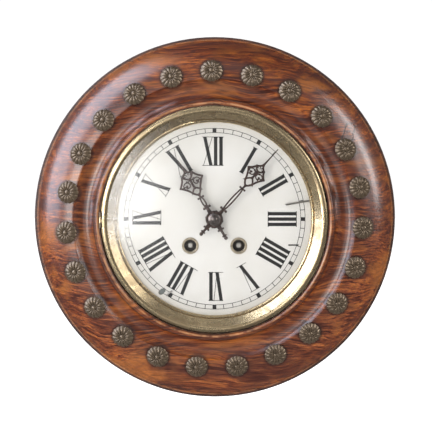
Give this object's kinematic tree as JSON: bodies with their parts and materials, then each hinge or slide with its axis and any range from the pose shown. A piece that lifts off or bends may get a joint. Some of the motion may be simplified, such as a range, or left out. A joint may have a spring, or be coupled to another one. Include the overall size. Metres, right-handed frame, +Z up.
{
  "type": "oeil-de-boeuf wall clock",
  "caption": "Round wall clock with a moulded wooden ring, pressed rosettes, a hinged brass bezel, Roman dial, pierced hands, and a spring-driven gong-striking movement in a square case behind.",
  "frame": {"origin": "centre of the hanger's hole in the wall plane", "axes": "+Z up, +Y into the wall, the dial faces -Y, +X to the right of someone who reads the dial"},
  "size_m": [0.38, 0.1181, 0.38],
  "materials": {
    "stained_walnut": "polished",
    "case_wood": "satin",
    "antique_bronze": "worn",
    "polished_brass": "polished",
    "movement_brass": "satin",
    "steel": "satin",
    "iron": "matt",
    "blued_steel": "satin",
    "spring_steel": "polished",
    "enamel": "gloss",
    "clear_glass": "gloss"
  },
  "bodies": {
    "case": {"wood_frame": "stained_walnut", "rosettes": "antique_bronze", "rosette_nails": "antique_bronze", "box_top": "case_wood", "box_bottom": "case_wood", "box_left": "case_wood", "box_right": "case_wood", "corner_blocks": "case_wood", "wood_screws": "steel", "hanger_plate": "iron", "door_hinge_leaves": "movement_brass", "door_catch": "steel", "dial": "enamel", "dial_nail": "steel", "winding_hole_collars": "polished_brass", "sight_ring": "polished_brass", "bezel_hinge": "polished_brass", "catch_pivot": "steel", "front_plate": "movement_brass", "back_plate": "movement_brass", "pillars": "movement_brass", "pillar_nuts": "steel", "mounting_bars": "iron", "suspension_cock": "movement_brass", "gong": "spring_steel", "gong_block": "iron"},
    "bezel_door": {"bezel": "polished_brass", "glass": "clear_glass", "glass_ring": "polished_brass"},
    "back_door": {"rear_door": "case_wood", "door_hinge_flaps": "movement_brass"},
    "catch": {"catch_lever": "steel"},
    "minute_work": {"minute_hand": "blued_steel", "hand_collet": "blued_steel", "cannon_pinion": "movement_brass"},
    "minute_wheel_work": {"minute_wheel": "movement_brass"},
    "hour_work": {"hour_hand": "blued_steel", "hour_wheel": "movement_brass"},
    "third_arbor": {"third_wheel": "movement_brass"},
    "centre_arbor": {"centre_wheel": "movement_brass"},
    "intermediate_arbor": {"intermediate_wheel": "movement_brass"},
    "time_drum": {"time_barrel": "movement_brass"},
    "escape_arbor": {"escape_wheel": "movement_brass"},
    "pendulum": {"pendulum_rod": "steel", "pendulum_bob": "movement_brass", "rating_nut": "movement_brass"},
    "anchor_arbor": {"anchor": "steel"},
    "locking_arbor": {"locking_wheel": "movement_brass"},
    "pin_arbor": {"pin_wheel": "movement_brass"},
    "count_arbor": {"count_wheel": "movement_brass"},
    "strike_drum": {"strike_barrel": "movement_brass"},
    "warning_arbor": {"warning_wheel": "movement_brass"},
    "fly_arbor": {"fly": "movement_brass"},
    "time_key_arbor": {"time_winding_arbor": "steel"},
    "strike_key_arbor": {"strike_winding_arbor": "steel"},
    "time_pawl": {"time_click": "steel"},
    "strike_pawl": {"strike_click": "steel"},
    "hammer_arbor": {"hammer": "steel"},
    "lifting_piece": {"lifting_lever": "steel"},
    "count_piece": {"count_lever": "steel"}
  },
  "joints": [
    {"name": "bezel_hinge", "type": "hinge", "parent": "case", "child": "bezel_door", "pos_m": [-0.1174, -0.1142, -0.128], "axis": [0, 0, -1], "range_deg": [0, 95]},
    {"name": "rear_door_hinge", "type": "hinge", "parent": "case", "child": "back_door", "pos_m": [-0.1039, -0.0024, -0.128], "axis": [0, 0, 1], "range_deg": [0, 95]},
    {"name": "catch_lever_pivot", "type": "hinge", "parent": "case", "child": "catch", "pos_m": [0.10945, -0.0953, -0.10672], "axis": [0, 1, 0], "range_deg": [0, 8]},
    {"name": "minute_hand_turn", "type": "hinge", "parent": "case", "child": "minute_work", "pos_m": [0, -0.103, -0.128], "axis": [0, 1, 0], "continuous": true},
    {"name": "minute_wheel_turn", "type": "hinge", "parent": "case", "child": "minute_wheel_work", "pos_m": [0, -0.082, -0.1184], "axis": [0, 1, 0], "continuous": true},
    {"name": "hour_hand_turn", "type": "hinge", "parent": "case", "child": "hour_work", "pos_m": [0, -0.099, -0.128], "axis": [0, 1, 0], "continuous": true},
    {"name": "third_wheel_turn", "type": "hinge", "parent": "case", "child": "third_arbor", "pos_m": [0.00622, -0.055, -0.1109], "axis": [0, 1, 0], "continuous": true},
    {"name": "centre_wheel_turn", "type": "hinge", "parent": "case", "child": "centre_arbor", "pos_m": [0, -0.06, -0.128], "axis": [0, 1, 0], "continuous": true},
    {"name": "intermediate_wheel_turn", "type": "hinge", "parent": "case", "child": "intermediate_arbor", "pos_m": [0.01973, -0.06, -0.1297], "axis": [0, 1, 0], "continuous": true},
    {"name": "time_barrel_turn", "type": "hinge", "parent": "case", "child": "time_drum", "pos_m": [0.0253, -0.055, -0.156], "axis": [0, 1, 0], "continuous": true},
    {"name": "escape_wheel_turn", "type": "hinge", "parent": "case", "child": "escape_arbor", "pos_m": [0, -0.047, -0.09544], "axis": [0, 1, 0], "continuous": true},
    {"name": "pendulum_swing", "type": "hinge", "parent": "case", "child": "pendulum", "pos_m": [0, -0.0272, -0.07444], "axis": [0, 1, 0], "range_deg": [-2.5, 2.5]},
    {"name": "anchor_rock", "type": "hinge", "parent": "case", "child": "anchor_arbor", "pos_m": [0, -0.047, -0.07444], "axis": [0, 1, 0], "range_deg": [-2.5, 2.5]},
    {"name": "locking_wheel_turn", "type": "hinge", "parent": "case", "child": "locking_arbor", "pos_m": [-0.02359, -0.057, -0.09979], "axis": [0, 1, 0], "continuous": true},
    {"name": "pin_wheel_turn", "type": "hinge", "parent": "case", "child": "pin_arbor", "pos_m": [-0.02588, -0.062, -0.11279], "axis": [0, 1, 0], "continuous": true},
    {"name": "count_wheel_turn", "type": "hinge", "parent": "case", "child": "count_arbor", "pos_m": [-0.01973, -0.06, -0.1297], "axis": [0, 1, 0], "continuous": true},
    {"name": "strike_barrel_turn", "type": "hinge", "parent": "case", "child": "strike_drum", "pos_m": [-0.0253, -0.055, -0.156], "axis": [0, 1, 0], "continuous": true},
    {"name": "warning_wheel_turn", "type": "hinge", "parent": "case", "child": "warning_arbor", "pos_m": [-0.01998, -0.051, -0.08987], "axis": [0, 1, 0], "continuous": true},
    {"name": "fly_turn", "type": "hinge", "parent": "case", "child": "fly_arbor", "pos_m": [-0.02403, -0.06, -0.08285], "axis": [0, 1, 0], "continuous": true},
    {"name": "time_winding", "type": "hinge", "parent": "case", "child": "time_key_arbor", "pos_m": [0.0253, -0.06, -0.156], "axis": [0, 1, 0], "range_deg": [0, 2160]},
    {"name": "strike_winding", "type": "hinge", "parent": "case", "child": "strike_key_arbor", "pos_m": [-0.0253, -0.06, -0.156], "axis": [0, 1, 0], "range_deg": [0, 2160]},
    {"name": "time_click_lift", "type": "hinge", "parent": "case", "child": "time_pawl", "pos_m": [0.0353, -0.0815, -0.1476], "axis": [0, -1, 0], "range_deg": [0, 15], "stiffness_Nm_per_rad": 0.0005, "springref_deg": -11.46},
    {"name": "strike_click_lift", "type": "hinge", "parent": "case", "child": "strike_pawl", "pos_m": [-0.0153, -0.0815, -0.1476], "axis": [0, -1, 0], "range_deg": [0, 15], "stiffness_Nm_per_rad": 0.0005, "springref_deg": -11.46},
    {"name": "hammer_lift", "type": "hinge", "parent": "case", "child": "hammer_arbor", "pos_m": [-0.046, -0.03, -0.126], "axis": [0, 1, 0], "range_deg": [0, 15]},
    {"name": "lifting_lever_lift", "type": "hinge", "parent": "case", "child": "lifting_piece", "pos_m": [-0.04, -0.0846, -0.108], "axis": [0, -1, 0], "range_deg": [0, 8]},
    {"name": "count_lever_lift", "type": "hinge", "parent": "case", "child": "count_piece", "pos_m": [-0.047, -0.05, -0.094], "axis": [0, -1, 0], "range_deg": [0, 6]}
  ],
  "couplings": [
    {"joint": "minute_wheel_turn", "follows": "minute_hand_turn", "ratio": -0.33333},
    {"joint": "hour_hand_turn", "follows": "minute_hand_turn", "ratio": 0.083333},
    {"joint": "centre_wheel_turn", "follows": "third_wheel_turn", "ratio": -0.083333},
    {"joint": "intermediate_wheel_turn", "follows": "third_wheel_turn", "ratio": 0.013158},
    {"joint": "time_barrel_turn", "follows": "third_wheel_turn", "ratio": -0.0018797},
    {"joint": "escape_wheel_turn", "follows": "third_wheel_turn", "ratio": -13},
    {"joint": "anchor_rock", "follows": "pendulum_swing", "ratio": 1},
    {"joint": "pin_wheel_turn", "follows": "locking_wheel_turn", "ratio": -0.1},
    {"joint": "count_wheel_turn", "follows": "locking_wheel_turn", "ratio": 0.011111},
    {"joint": "strike_barrel_turn", "follows": "locking_wheel_turn", "ratio": -0.0015873},
    {"joint": "warning_wheel_turn", "follows": "locking_wheel_turn", "ratio": -10},
    {"joint": "fly_turn", "follows": "locking_wheel_turn", "ratio": 80}
  ]
}
